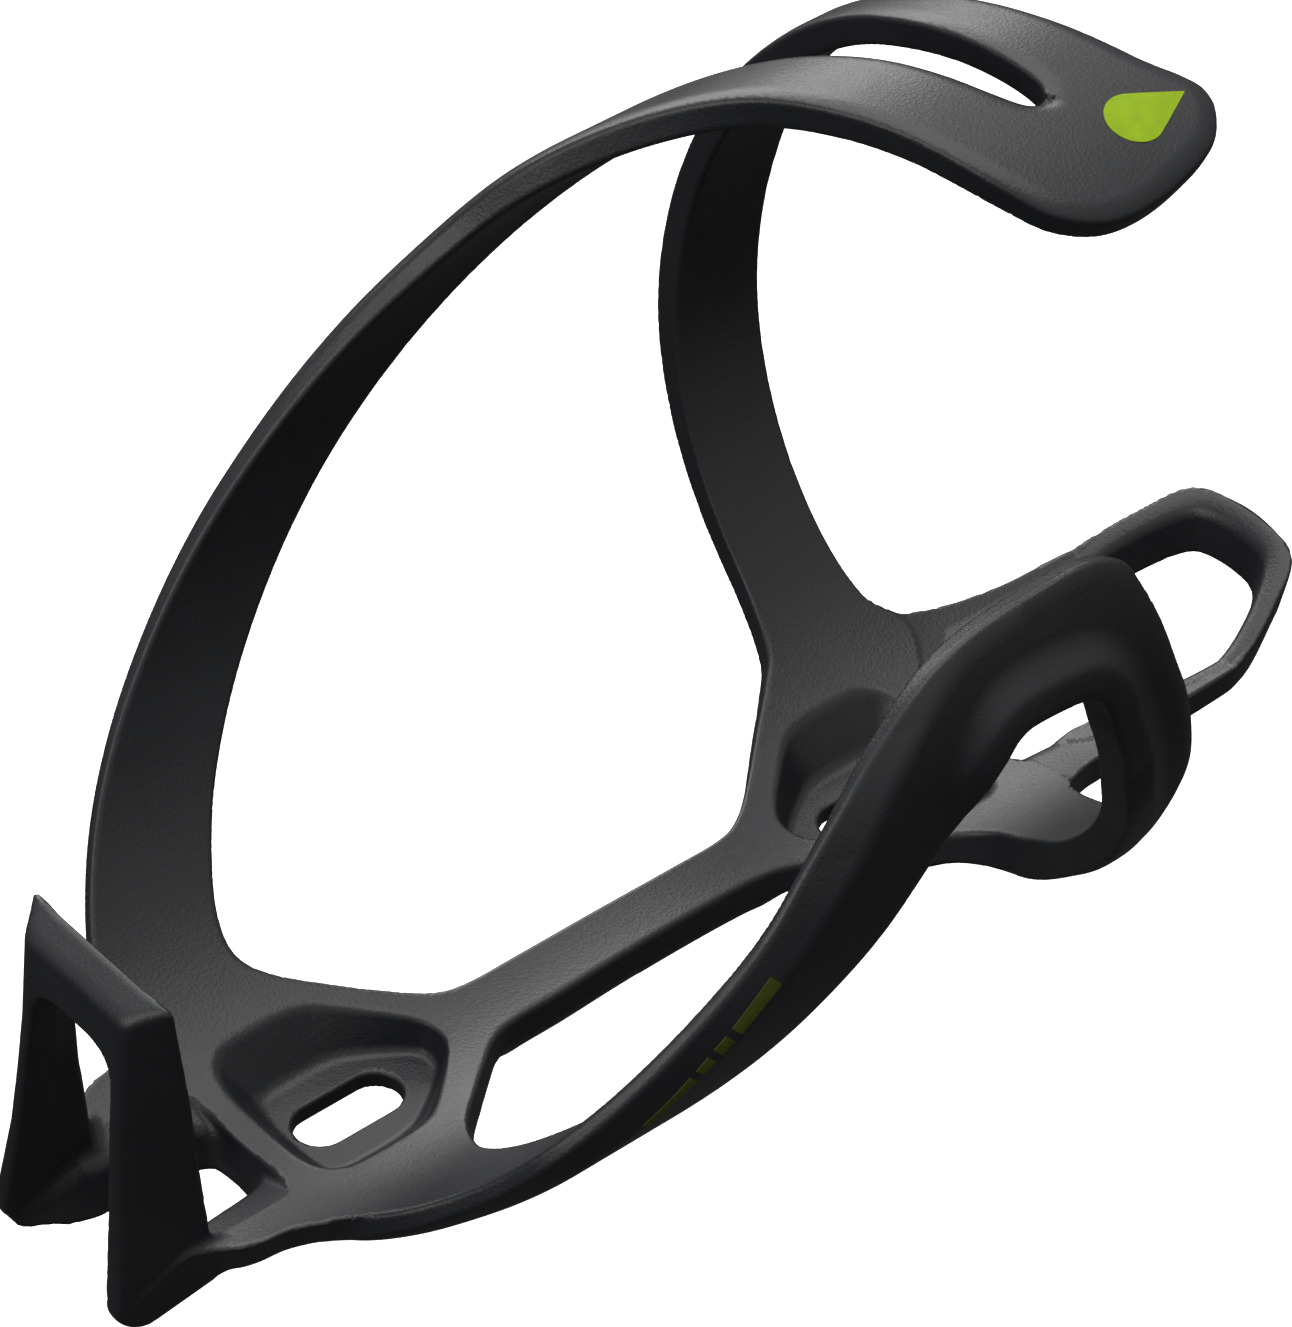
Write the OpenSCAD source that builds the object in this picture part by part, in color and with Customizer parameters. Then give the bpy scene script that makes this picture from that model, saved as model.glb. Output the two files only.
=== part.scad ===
// Side-entry water bottle cage. The bottle lies along X and the cage wraps round it.
// The origin is on the plane of the two bolt pads, midway between the bolts. +X points to
// the mouth end of the bottle, +Z away from the bicycle's tube, +Y to the side of the hoop.

/* [Bottle] */
// Radius of the bottle space
bottle_r = 37.5; // [36.5:0.5:38.5]
// Height of the bottle's axis above the mounting plane
axis_z = 43; // [42.5:0.5:43.5]

/* [Mounting] */
// Distance between the two bolts
bolt_pitch = 64; // [63:0.5:65]
// Width of each bolt slot
slot_w = 5.4; // [5.2:0.1:5.8]
// Length of each bolt slot from end to end
slot_l = 11.5; // [9:0.5:12]
// Thickness of each bolt pad under the bolt head
pad_t = 2; // [1.6:0.1:2.6]
// Thickness of the wall round each bolt pocket
pocket_wall = 1.4; // [1.2:0.1:1.6]

/* [Skin] */
// Thickness of the skin that wraps the bottle
skin_t = 3.2; // [2.8:0.1:3.6]
// Thickness of that skin along its bevelled edges
edge_t = 2; // [1.6:0.1:2.4]
// Thickness of the recessed flange inside the wing
flange_t = 2; // [1.6:0.1:2.4]

/* [Spine] */
// Width of the spine bar
spine_w = 6.4; // [5.6:0.2:7.2]
// Height of the spine bar's underside
spine_z = 1.4; // [1:0.2:2]

/* [Stop hook] */
// Height of the hook's top edge
hook_z = 37; // [35:0.5:39]
// Height of the hook window's top edge
hook_window_z = 31; // [29:0.5:32]

/* [Nose loop] */
// Half the width of the loop over its two bars
loop_half_w = 12.4; // [12:0.2:13.6]
// Width of each bar of the loop
bar_w = 4; // [3.6:0.2:4.8]
// Length from the origin to the loop's tip
loop_x = 82; // [81:0.5:83]
// Height of the loop's raised tip
nose_z = 12.4; // [11:0.2:13]

/* [Marks] */
// Thickness of the printed marks
mark_t = 0.2; // [0.1:0.05:0.3]

/* [Hidden] */

black = [0.13, 0.13, 0.14];
lime = [0.62, 0.75, 0.05];
$fn = 96;

// Outer radius of the skin
skin_r = bottle_r + skin_t;
// Share of a band's width that each bevelled edge takes
bevel_share = 0.18;
// Half the distance between the bolts
bolt_x = bolt_pitch / 2;
// Where the plates end and the open loop and hook bars begin
plate_reach = 12;
plate_end = bolt_x + plate_reach;
// Where the spine bar ends at each plate
spine_end = 17;

// A rung crosses a band of skin from one edge to the other:
// [x of edge A, angle of edge A, x of edge B, angle of edge B].
// Angles go round the bottle from its underside, positive towards the hoop.
function rung(angle, xa, xb) = [xa, angle, xb, angle];

lower_plate_rungs = [
  rung(-20, -44, -29), rung(-14, -44, -25.5), rung(-9, -44, -21.5), rung(-4, -44, -17),
  rung(0, -44, -17), rung(4, -44, -17), rung(9, -44, -21.5), rung(14, -44, -25.5),
  rung(20, -44, -29)
];
upper_plate_rungs = [
  rung(-20, 31, 44), rung(-14, 25.5, 44), rung(-9, 21.5, 44), rung(-4, 17, 44),
  rung(0, 17, 44), rung(4, 17, 44), rung(9, 21.5, 44), rung(14, 25.5, 44),
  rung(20, 29, 44)
];
lower_side_rungs = [
  rung(20, -47, -29), rung(27, -46, -32), rung(35, -44.1, -31), rung(48, -39, -26),
  rung(60, -33.3, -20), rung(73, -25.7, -13), rung(86, -17.6, -5), rung(100, -8.5, 4)
];
lower_crown_rungs = [
  rung(100, -8.5, 4), rung(115, 1.3, 13.7), rung(130, 10.6, 23), rung(145, 19, 31.5),
  rung(160, 26, 37.5), rung(175, 31, 41.5), rung(188, 34.2, 43.6)
];
upper_side_rungs = [
  rung(20, 29, 48.5), rung(28, 34, 46), rung(40, 35.8, 46.1), rung(55, 36.8, 46.8),
  rung(70, 37.2, 47.9), rung(85, 37.4, 49.2), rung(100, 37.7, 50.6)
];
upper_crown_rungs = [
  rung(100, 37.7, 50.6), rung(115, 39.3, 51.8), rung(130, 42, 52.2), rung(145, 45, 52.4),
  rung(160, 46.6, 52.8), rung(175, 46.8, 54.2), rung(188, 46.4, 56.5)
];
tongue_rungs = [
  rung(188, 34.2, 56.5), [35.9, 195, 59, 195], [37.2, 200.5, 60.4, 198.6],
  [39.2, 205, 60.4, 201.2], [43, 207.6, 58, 203.8]
];
strap_root_rungs = [
  rung(-20, -29, -47), [-31.2, -27, -45.2, -27], [-30.6, -35, -42.4, -34],
  [-28, -42, -39.2, -42], [-24, -48, -35.4, -50]
];
side_strap_rungs = [
  [-24, -48, -35.4, -50], [-18.4, -55, -31, -58.5], [-13, -63, -25.8, -68.5],
  [-8.6, -71.5, -20.6, -78], [-4, -79, -15.3, -87], [0.6, -86, -9.6, -95.5],
  [4.4, -93, -3.4, -104.8], [7, -98, 2.6, -110.5], [10, -99.6, 10, -114.4]
];
// The rail, corner and post carry a thick rim outside and a thin flange inside
wing_rail_rungs = [[10, -104.3, 10, -114.4], [16, -104.3, 16, -114.5], [21, -104.3, 21, -114.5]];
wing_corner_rungs = [
  [21, -104.3, 21, -114.5], [23.2, -104, 25.2, -114.3], [24.6, -101.6, 28, -111.8],
  [25.6, -98.6, 29.3, -106], [26.2, -96, 29.9, -99.8], [26.8, -94, 30.4, -94]
];
wing_post_rungs = [
  rung(-94, 26.8, 30.4), rung(-84, 28.4, 32.2), rung(-74, 30.6, 33.9), rung(-64, 32, 35),
  rung(-54, 34, 38), rung(-45, 35.4, 41), rung(-38, 34.2, 43.4), rung(-29, 32.8, 45.6),
  rung(-20, 31, 46.5)
];
wing_flange_rungs = [
  [10, -99.6, 10, -104.3], [19.5, -99.6, 21, -104.3], [22, -98, 24.3, -102.4],
  [23.4, -91, 26.9, -93], [24.8, -83, 28.6, -83], [27, -73, 30.8, -73],
  [29.6, -64, 32, -64], [33.2, -54, 34, -54]
];

// Half of a bolt pocket's outline, measured from its bolt, with the tip towards the spine
pocket_half_w = 9.2;
pocket_half = [[-10.7, 0], [-10, 7.5], [-8, pocket_half_w], [2, pocket_half_w], [10, 3], [10.9, 0]];
// Outline of a whole bolt pocket, grown outwards by g
function pocket_outline(g) =
  (1 + g / pocket_half_w) * concat(pocket_half, [for (k = [4:-1:1]) [pocket_half[k][0], -pocket_half[k][1]]]);

// Heights below and above every plate, between which a cut goes right through
cut_low = -1;
cut_high = 20;

// Sections of the bars from the lower plate to the hook: [x, inner y, outer y, bottom z, top z]
hook_bar_sections = [
  [-54.2, 6.4, 9.2, 1.4, 6.6], [-52, 6.8, 11.4, 1.8, 6.6], [-48, 7, 12.4, 2.1, 6.6], [-44, 7, 12.8, 2.4, 7]
];
// Half the length of the hook's ridge between its legs
ridge_half_w = 4.4;
// Sections of the hook's legs: [z, rear x, rear y, front x, front y, inner rear y, inner front y]
hook_leg_sections = [
  [0.8, -54.2, 8.6, -63.2, 9.4, 6.3, 6.4], [3, -54.2, 8.9, -64.6, 9.2, 6.3, 6.2],
  [7, -54.4, 9.2, -64.1, 8.8, 6.4, 5.9], [14.5, -54.7, 9.2, -62.9, 7.8, 6.6, 5.4],
  [21.5, -55.4, 9.7, -62, 7.2, 6.8, 5], [28, -56.1, 10.1, -61.1, 6.9, 5.8, 4.6],
  [hook_window_z, -56.5, 10.2, -60.7, 6.9, ridge_half_w, ridge_half_w],
  [hook_z - 1.4, -57.2, 10.4, -60, 7, ridge_half_w, ridge_half_w],
  [hook_z, -57.3, 10.5, -58, 9, ridge_half_w, ridge_half_w]
];

// Cross-section of the ridge that joins the legs: [x, z]
ridge_outline = [
  [-57.3, hook_z], [-60, hook_z - 1.4], [-60.7, hook_window_z], [-56.5, hook_window_z]
];

// Height of the underside of the loop's bars
loop_z = 3.3;
// Sections of the loop's bars: [x, inner y, outer y, bottom z, top z]
loop_in = loop_half_w - bar_w;
loop_bar_sections = [
  [plate_end, loop_in, 14, 2.4, 7], [50, loop_in, 13.6, loop_z, 6.8],
  [58, loop_in, loop_half_w, loop_z, 6.8], [70, loop_in, loop_half_w, loop_z, 6.8]
];
// Sections of half the nose: [inner x, inner y, outer x, outer y, bottom z, top z]
nose_sections = [
  [70, -loop_in, 70, -loop_half_w, loop_z, 6.8], [74.5, -7.5, 76.4, -10.6, 4.6, 9.6],
  [77.8, -5.4, loop_x - 0.8, -7.4, 6.4, nose_z - 0.6], [79.4, 0, loop_x, 0, 7.4, nose_z]
];

// Place of the mark on the tongue
mark_x = 50;
mark_angle = 197;
// Radius of the printed drop, and the distance from its centre to its tip
drop_r = 2.8;
drop_l = 6.2;
// Rows of the side strap between which the printed line's dashes run
strap_dashes = [[2, 2.75], [3, 3.25], [3.5, 3.75], [4, 5]];

// Point on or outside the bottle
function wrap(x, angle, r) = [x, r * sin(angle), axis_z - r * cos(angle)];

// Smooth curve through the rows of a list, at position u counted in rows
function row(list, i) = list[min(max(i, 0), len(list) - 1)];
function smooth_row(list, u) =
  let (i = min(floor(u), len(list) - 2), t = u - i,
       p = row(list, i - 1), q = row(list, i), r = row(list, i + 1), s = row(list, i + 2))
  q + t * (r - p) / 2 + t * t * (p - 2.5 * q + 2 * r - s / 2)
    + t * t * t * (1.5 * q - p / 2 - 1.5 * r + s / 2);

// Closed solid through a row of matching outlines, each clockwise as seen along the row
module loft(sections) {
  n = len(sections[0]);
  last = len(sections) - 1;
  sides = [
    for (k = [0:last - 1], j = [0:n - 1])
      let (a = k * n + j, b = k * n + (j + 1) % n)
        each [[a, b + n, b], [a, a + n, b + n]]
  ];
  start_cap = [
    for (j = [0:n / 2 - 2])
      each [[j, j + 1, n - 2 - j], [j, n - 2 - j, n - 1 - j]]
  ];
  end_cap = [for (f = start_cap) [f[2], f[1], f[0]] + [1, 1, 1] * last * n];
  polyhedron([for (s = sections) each s], concat(sides, start_cap, end_cap));
}

// Skin along a ladder of rungs, bevelled along both of its outer edges
module band(rungs, t = skin_t, edge = edge_t, base_r = bottle_r, steps = 4) {
  inner = [0, 0.25, 0.5, 0.75, 1];
  outer = [[1, edge], [1 - bevel_share, t], [0.5, t], [bevel_share, t], [0, edge]];
  function at(g, u, r) = wrap(g[0] + u * (g[2] - g[0]), g[1] + u * (g[3] - g[1]), r);
  loft([
    for (k = [0:steps * (len(rungs) - 1)])
      let (g = smooth_row(rungs, k / steps))
        concat([for (u = inner) at(g, u, base_r)], [for (o = outer) at(g, o[0], base_r + o[1])])
  ]);
}

// Space filled by the bottle
module bottle_space() {
  translate([-2 * bolt_pitch, 0, axis_z]) rotate([0, 90, 0]) cylinder(r = bottle_r, h = 4 * bolt_pitch);
}

module pocket_prism(side, g, z0, z1) {
  translate([side * bolt_x, 0, z0]) mirror([side > 0 ? 1 : 0, 0, 0])
    linear_extrude(z1 - z0) polygon(pocket_outline(g));
}

// Slot whose two ends are true half bores
module bolt_slot(side) {
  half = (slot_l - slot_w) / 2;
  translate([side * bolt_x, 0, cut_low]) {
    for (end = [-1, 1]) translate([end * half, 0, 0]) cylinder(d = slot_w, h = cut_high);
    translate([-half, -slot_w / 2, 0]) cube([2 * half, slot_w, cut_high]);
  }
}

module plate(side, rungs) {
  difference() {
    band(rungs, edge = skin_t);
    pocket_prism(side, pocket_wall, cut_low, cut_high);
  }
}

module pocket_walls(side) {
  difference() {
    pocket_prism(side, pocket_wall, pad_t, axis_z - bottle_r + 2 * skin_t);
    pocket_prism(side, 0, cut_low, cut_high);
    bottle_space();
  }
}

module bolt_pad(side) {
  difference() {
    pocket_prism(side, pocket_wall, 0, pad_t);
    bolt_slot(side);
  }
}

module lower_plate() { color(black) plate(-1, lower_plate_rungs); }
module lower_pocket_wall() { color(black) pocket_walls(-1); }
module lower_bolt_pad() { color(black) bolt_pad(-1); }
module upper_plate() { color(black) plate(1, upper_plate_rungs); }
module upper_pocket_wall() { color(black) pocket_walls(1); }
module upper_bolt_pad() { color(black) bolt_pad(1); }

module spine_bar() {
  top = axis_z - bottle_r;
  half = spine_w / 2;
  bevel = 0.8;
  color(black) translate([-spine_end, 0, 0]) rotate([90, 0, 90]) linear_extrude(2 * spine_end)
    polygon([[-half + bevel, spine_z], [half - bevel, spine_z], [half, spine_z + bevel],
             [half, top - bevel], [half - bevel, top], [-half + bevel, top],
             [-half, top - bevel], [-half, spine_z + bevel]]);
}

module lower_arm_side() { color(black) band(lower_side_rungs); }
module lower_arm_crown() { color(black) band(lower_crown_rungs); }
module upper_arm_side() { color(black) band(upper_side_rungs); }
module upper_arm_crown() { color(black) band(upper_crown_rungs); }
module tongue() { color(black) band(tongue_rungs); }
module strap_root() { color(black) band(strap_root_rungs); }
module side_strap() { color(black) band(side_strap_rungs); }
module wing_rail() { color(black) band(wing_rail_rungs); }
module wing_corner() { color(black) band(wing_corner_rungs); }
module wing_post() { color(black) band(wing_post_rungs); }
module wing_flange() { color(black) band(wing_flange_rungs, t = flange_t, edge = flange_t); }

// Bar along X. Each section is [x, inner y, outer y, bottom z, top z].
module x_bar(sections) {
  loft([
    for (s = sections)
      [[s[0], s[2], s[4]], [s[0], s[1], s[4]], [s[0], s[1], s[3]], [s[0], s[2], s[3]]]
  ]);
}

module hook_bar() { x_bar(hook_bar_sections); }
module hook_bar_far() { color(black) hook_bar(); }
module hook_bar_near() { color(black) mirror([0, 1, 0]) hook_bar(); }

module hook_leg() {
  loft([
    for (s = hook_leg_sections)
      [[s[1], s[2], s[0]], [s[3], s[4], s[0]], [s[3], s[6], s[0]], [s[1], s[5], s[0]]]
  ]);
}

module hook_leg_far() { color(black) hook_leg(); }
module hook_leg_near() { color(black) mirror([0, 1, 0]) hook_leg(); }

module stop_ridge() {
  color(black) translate([0, ridge_half_w, 0]) rotate([90, 0, 0]) linear_extrude(2 * ridge_half_w)
    polygon(ridge_outline);
}

module loop_bar() { x_bar(loop_bar_sections); }
module loop_bar_far() { color(black) loop_bar(); }
module loop_bar_near() { color(black) mirror([0, 1, 0]) loop_bar(); }

module loop_nose() {
  other_half = [
    for (k = [len(nose_sections) - 2:-1:0])
      let (s = nose_sections[k]) [s[0], -s[1], s[2], -s[3], s[4], s[5]]
  ];
  color(black) loft([
    for (s = concat(nose_sections, other_half))
      [[s[0], s[1], s[5]], [s[2], s[3], s[5]], [s[2], s[3], s[4]], [s[0], s[1], s[4]]]
  ]);
}

// Water drop, printed on the tongue with its tip towards the bottle's mouth
module tongue_mark() {
  tangent = acos(drop_r / drop_l);
  join = drop_r * cos(tangent);
  function half_w(x) = max(0.1, x < join ? sqrt(drop_r * drop_r - x * x) :
                                  drop_r * sin(tangent) * (drop_l - x) / (drop_l - join));
  function degrees_of(w) = w / skin_r * 180 / PI;
  stations = concat([for (a = [180:-15:75]) drop_r * cos(a)], [join + 1.5, join + 3, drop_l]);
  color(lime) band(
    [
      for (x = stations)
        let (w = degrees_of(half_w(x)))
          [mark_x + x, mark_angle + w, mark_x + x, mark_angle - w]
    ],
    t = mark_t, edge = mark_t, base_r = skin_r, steps = 1
  );
}

// Broken line, printed along the outer face of the side strap
module strap_mark() {
  function inset(g, u) = [g[0] + u * (g[2] - g[0]), g[1] + u * (g[3] - g[1])];
  color(lime) for (dash = strap_dashes) band(
    [
      for (k = [dash[0]:0.25:dash[1]])
        let (g = smooth_row(side_strap_rungs, k)) concat(inset(g, 0.6), inset(g, 0.74))
    ],
    t = mark_t, edge = mark_t, base_r = skin_r, steps = 1
  );
}

lower_plate();
lower_pocket_wall();
lower_bolt_pad();
spine_bar();
upper_plate();
upper_pocket_wall();
upper_bolt_pad();
lower_arm_side();
lower_arm_crown();
upper_arm_side();
upper_arm_crown();
tongue();
strap_root();
side_strap();
wing_rail();
wing_corner();
wing_post();
wing_flange();
hook_bar_near();
hook_bar_far();
hook_leg_near();
hook_leg_far();
stop_ridge();
loop_bar_near();
loop_bar_far();
loop_nose();
tongue_mark();
strap_mark();
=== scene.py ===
"""Water bottle cage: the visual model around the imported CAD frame.

The cage is one smooth moulding, so its whole surface is described once, as a signed distance in
millimetres, and meshed. The mesh is then cut along the CAD nodes' own boundaries into closed pieces, one
for each part of the cage.
"""
import math

import bmesh
import bpy
import numpy as np
from mathutils import Matrix, Vector

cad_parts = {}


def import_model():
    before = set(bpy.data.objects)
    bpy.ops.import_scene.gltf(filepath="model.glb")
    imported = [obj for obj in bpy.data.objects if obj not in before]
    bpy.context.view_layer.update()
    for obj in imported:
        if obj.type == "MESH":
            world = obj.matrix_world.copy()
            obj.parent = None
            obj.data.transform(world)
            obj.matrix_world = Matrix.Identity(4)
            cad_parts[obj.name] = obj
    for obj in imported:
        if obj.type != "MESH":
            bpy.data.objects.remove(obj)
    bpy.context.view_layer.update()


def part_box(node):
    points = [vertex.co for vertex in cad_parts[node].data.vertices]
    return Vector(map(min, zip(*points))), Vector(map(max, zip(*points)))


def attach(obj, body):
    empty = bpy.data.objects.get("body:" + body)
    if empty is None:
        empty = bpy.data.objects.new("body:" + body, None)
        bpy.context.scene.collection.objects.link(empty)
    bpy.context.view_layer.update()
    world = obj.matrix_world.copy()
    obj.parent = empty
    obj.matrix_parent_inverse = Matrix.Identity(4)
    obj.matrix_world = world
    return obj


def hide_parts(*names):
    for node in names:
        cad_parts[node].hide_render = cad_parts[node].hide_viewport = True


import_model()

MM = 0.001

# ---------------------------------------------------------------- driving sizes, in millimetres
BOTTLE_R = 37.5
AXIS_Z = 43.0
MID_R = 39.0                      # radius at which the skin's outline is measured along the arc
SKIN_T = 3.3
SPINE_EXTRA = 1.4                 # how much thicker the spine is than the skin
WING_LESS = 0.3                   # how much thinner the wing is
DRAFT = 0.2                       # how far upright walls lean into their hole, for each millimetre down
BOLT_X = 32.0
PAD_T = 2.0
PLATE_TOP = 5.5                   # height of the plates' inner face, midway across
GRID = 0.42    # size of the cells of the meshing grid
EDGE_GROWTH = 0.2                 # makes up for what the rounding of the edges takes away
CRISP, SOFT, BLEND = 0.4, 0.6, 1.2    # how far edges are rounded, and fillets between joined parts
ARC = math.pi / 180 * MID_R       # millimetres of arc in a degree

# ---------------------------------------------------------------- small helpers


def smooth_min(a, b, k):
    """The lesser of two distances, with a fillet about k wide where they meet."""
    h = np.maximum(k - np.abs(a - b), 0.0) / k
    return np.minimum(a, b) - h * h * k * 0.25


def smooth_max(a, b, k):
    return -smooth_min(-a, -b, k)


def ramp(value, low, high):
    """0 below low, 1 above high and a smooth step between them."""
    t = np.clip((value - low) / (high - low), 0.0, 1.0)
    return t * t * (3.0 - 2.0 * t)


def closed_curve(points, per=6):
    """A closed Catmull-Rom curve through the points."""
    p = np.array(points, float)
    a, b, c, d = np.roll(p, 1, 0), p, np.roll(p, -1, 0), np.roll(p, -2, 0)
    rows = []
    for i in range(per):
        t = i / per
        rows.append(0.5 * (2 * b + (c - a) * t + (2 * a - 5 * b + 4 * c - d) * t**2
                           + (3 * b - a - 3 * c + d) * t**3))
    return np.stack(rows, 1).reshape(-1, 2)


def outline_distance(points, outline):
    """Signed distance from each 2-D point to a closed outline, negative inside it."""
    a, b = outline, np.roll(outline, -1, 0)
    ab = b - a
    length2 = np.maximum((ab * ab).sum(1), 1e-9)
    out = np.empty(len(points))
    step = max(1, 4_000_000 // len(outline))
    for start in range(0, len(points), step):
        p = points[start:start + step, None, :]
        ap = p - a
        t = np.clip((ap * ab).sum(2) / length2, 0.0, 1.0)
        gap = ap - t[..., None] * ab
        nearest = np.sqrt((gap * gap).sum(2).min(1))
        above_a, above_b = a[:, 1] > p[..., 1], b[:, 1] > p[..., 1]
        slope = ab[:, 0] / np.where(np.abs(ab[:, 1]) < 1e-9, 1e-9, ab[:, 1])
        crosses = (above_a != above_b) & (p[..., 0] < a[:, 0] + (p[..., 1] - a[:, 1]) * slope)
        inside = crosses.sum(1) % 2 == 1
        out[start:start + step] = np.where(inside, -nearest, nearest)
    return out


class Field:
    """An outline's signed distance, kept on a grid so that it is quick to look up.

    Within reach of the outline it is exact at the grid's points, and further off it is rough.
    """

    def __init__(self, outline, cell=0.25, margin=6.0, coarse=8, reach=9.5):
        self.low = outline.min(0) - margin
        self.cell = cell
        counts = np.ceil((outline.max(0) + margin - self.low) / cell).astype(int) + 1
        xs = self.low[0] + cell * np.arange(counts[0])
        ys = self.low[1] + cell * np.arange(counts[1])
        grid = np.stack(np.meshgrid(xs, ys, indexing="ij"), -1)
        rough = grid[::coarse, ::coarse]
        values = outline_distance(rough.reshape(-1, 2), outline).reshape(rough.shape[:2])
        full = np.repeat(np.repeat(values, coarse, 0), coarse, 1)[:counts[0], :counts[1]]
        near = np.abs(full) < reach
        full[near] = outline_distance(grid[near], outline)
        self.values = full

    def __call__(self, x, y):
        shape = np.array(self.values.shape)
        u = np.clip((x - self.low[0]) / self.cell, 0, shape[0] - 1.001)
        v = np.clip((y - self.low[1]) / self.cell, 0, shape[1] - 1.001)
        i, j = u.astype(int), v.astype(int)
        u, v = u - i, v - j
        f = self.values
        return ((f[i, j] * (1 - u) + f[i + 1, j] * u) * (1 - v)
                + (f[i, j + 1] * (1 - u) + f[i + 1, j + 1] * u) * v)


def wrapped(points):
    """Points [x, degrees round the bottle] as [x, millimetres of arc]."""
    return [(x, angle * ARC) for x, angle in points]


# ---------------------------------------------------------------- outlines of the skin
# Angles go round the bottle from its underside, positive on the side of the hoop arms.
OUTER = [
    (-44, 0), (-44, 8), (-44.2, 14), (-45.2, 20), (-45.4, 27), (-44.1, 35), (-39.2, 48), (-33.3, 60),
    (-26.1, 72), (-17.9, 84.5), (-9.6, 96), (-0.7, 108.4), (7.6, 120.4), (13.8, 134.8), (20.6, 148),
    (26, 160), (29.2, 172.5), (31.5, 182.7), (33.1, 190.9), (34.6, 197.2), (36.8, 203.4), (40.5, 207.2),
    (45, 208.1), (50.1, 207), (55.2, 204.6), (58, 200.6), (58.8, 197), (58.2, 193.6), (57.2, 190),
    (56, 183.7), (54.7, 174.8), (53.2, 163), (52.2, 150), (51.7, 137), (51.5, 120), (51.1, 104),
    (50.1, 92), (48.8, 78), (47.6, 62), (46.7, 48), (46.2, 36), (46.4, 28), (47.4, 22.5), (47.2, 18),
    (44, 11), (44, 4), (44, -4), (44, -11), (43.8, -18), (43.4, -24.5), (42.8, -28), (41.9, -33.3),
    (40.5, -40), (38.6, -48), (36.4, -55), (35.4, -61.4), (35.3, -68), (35.2, -75), (34, -83.3),
    (32.6, -91), (31, -97.6), (29.6, -103.8), (28.2, -109.4), (26.6, -113.8), (23, -115.7), (17, -115.7),
    (11.4, -115.2), (7, -114), (3.6, -112), (0, -108.8), (-4.4, -103.8), (-10.4, -94.6), (-15.4, -85.6),
    (-21.1, -77.6), (-26.2, -70.1), (-30.6, -62.5), (-33.9, -56.1), (-36.4, -48.6), (-39.1, -41),
    (-41.9, -34), (-44.1, -26.8), (-44.9, -20.9), (-44.6, -16), (-44, -11),
]
WINDOW = [
    (0, -4.7), (10, -4.7), (15.6, -5.3), (18.8, -7), (22.8, -11), (27.3, -15.4), (31.3, -19),
    (33.5, -24.2), (33.5, -30), (32.9, -37), (31.6, -45), (30.4, -54), (28.6, -65.5), (26.2, -75.4),
    (24.3, -85), (22.8, -91.4), (21.6, -97.2), (19.6, -100.2), (14.8, -101), (11.6, -100.6), (9.4, -98.2),
    (7.2, -94.8), (4.8, -91.4), (1, -85.8), (-3.2, -78), (-7.6, -70.6), (-12.6, -61.8), (-17.7, -54),
    (-22.8, -46.6), (-26.8, -40.5), (-29.4, -35), (-30.5, -29), (-29.6, -23.8), (-27.6, -18.8),
    (-24.4, -14.2), (-21, -9.8), (-18.4, -6.8), (-15.4, -5.4), (-9, -5.2),
]
GAP = [
    (0, 4.5), (9, 4.4), (15.4, 4.5), (18.6, 6.2), (22, 10.1), (27.2, 17.2), (31, 22.4), (33.9, 27.4),
    (35.8, 36.8), (36.7, 50), (37.5, 64), (38.6, 80), (40.3, 96), (41.8, 110), (43.2, 125), (44.5, 137),
    (45.2, 148), (45.3, 160), (45.9, 172), (46.2, 181), (46, 186), (45, 188), (43.4, 187), (42, 182.4),
    (40.7, 175.4), (39.1, 167.1), (36.4, 157), (32.2, 146), (26.8, 135), (20.8, 124), (13, 111.4),
    (4.7, 98.9), (-3.7, 86.3), (-11.4, 73.9), (-18.7, 61.3), (-24.7, 49.7), (-28.9, 39.6), (-31.3, 32.3),
    (-32, 26.4), (-30.4, 21.6), (-26.3, 15.7), (-22, 9.9), (-18.7, 6), (-15.4, 4.6), (-9, 4.5),
]
outer_field = Field(closed_curve(wrapped(OUTER)))
window_field = Field(closed_curve(wrapped(WINDOW)))
gap_field = Field(closed_curve(wrapped(GAP)))

# Where the lower half of the cage passes to its upper half, between the two arms and inside the side window:
# x at each angle
MIDDLE = ([-115, -100, -80, -50, -20, 0, 50, 100, 125, 150, 188, 208],
          [15, 13, 12, 6, 2, 0, 5, 21, 30, 40, 45.5, 48])
# Edge bevels: [angle, edge thickness, bevel width], for each edge of each half
OUTER_LOW = [
    (-115, 2.4, 0.9), (-108, 1.6, 2.0), (-95, 1.1, 3.2), (-60, 1.6, 2.8), (-40, 1.9, 2.2), (-24, 2.6, 1.0),
    (0, 3.0, 0.6), (20, 2.0, 1.2), (60, 1.6, 1.8), (110, 2.0, 1.6), (137, 2.7, 1.2), (165, 2.9, 0.8),
    (188, 2.9, 0.8), (208, 2.6, 1.2),
]
OUTER_HIGH = [
    (-115, 2.8, 0.5), (-104, 2.7, 0.6), (-94, 2.2, 1.2), (-60, 2.4, 1.0), (-24, 2.8, 0.8), (0, 3.0, 0.6),
    (24, 2.6, 0.8), (60, 2.2, 1.4), (150, 1.6, 2.4), (188, 1.6, 2.4), (200, 2.4, 1.4), (208, 2.6, 1.2),
]
HOLE_LOW = [
    (-115, 2.9, 0.5), (-60, 2.9, 0.5), (-40, 2.6, 0.8), (-24, 2.6, 0.8), (0, 3.0, 1.0), (24, 2.4, 1.0),
    (60, 2.2, 1.6), (188, 2.2, 1.6),
]
HOLE_HIGH = [
    (-115, 3.0, 0.4), (-24, 3.0, 0.5), (0, 3.0, 1.0), (24, 2.8, 0.8), (60, 3.0, 0.7), (188, 3.0, 0.7),
]
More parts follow.
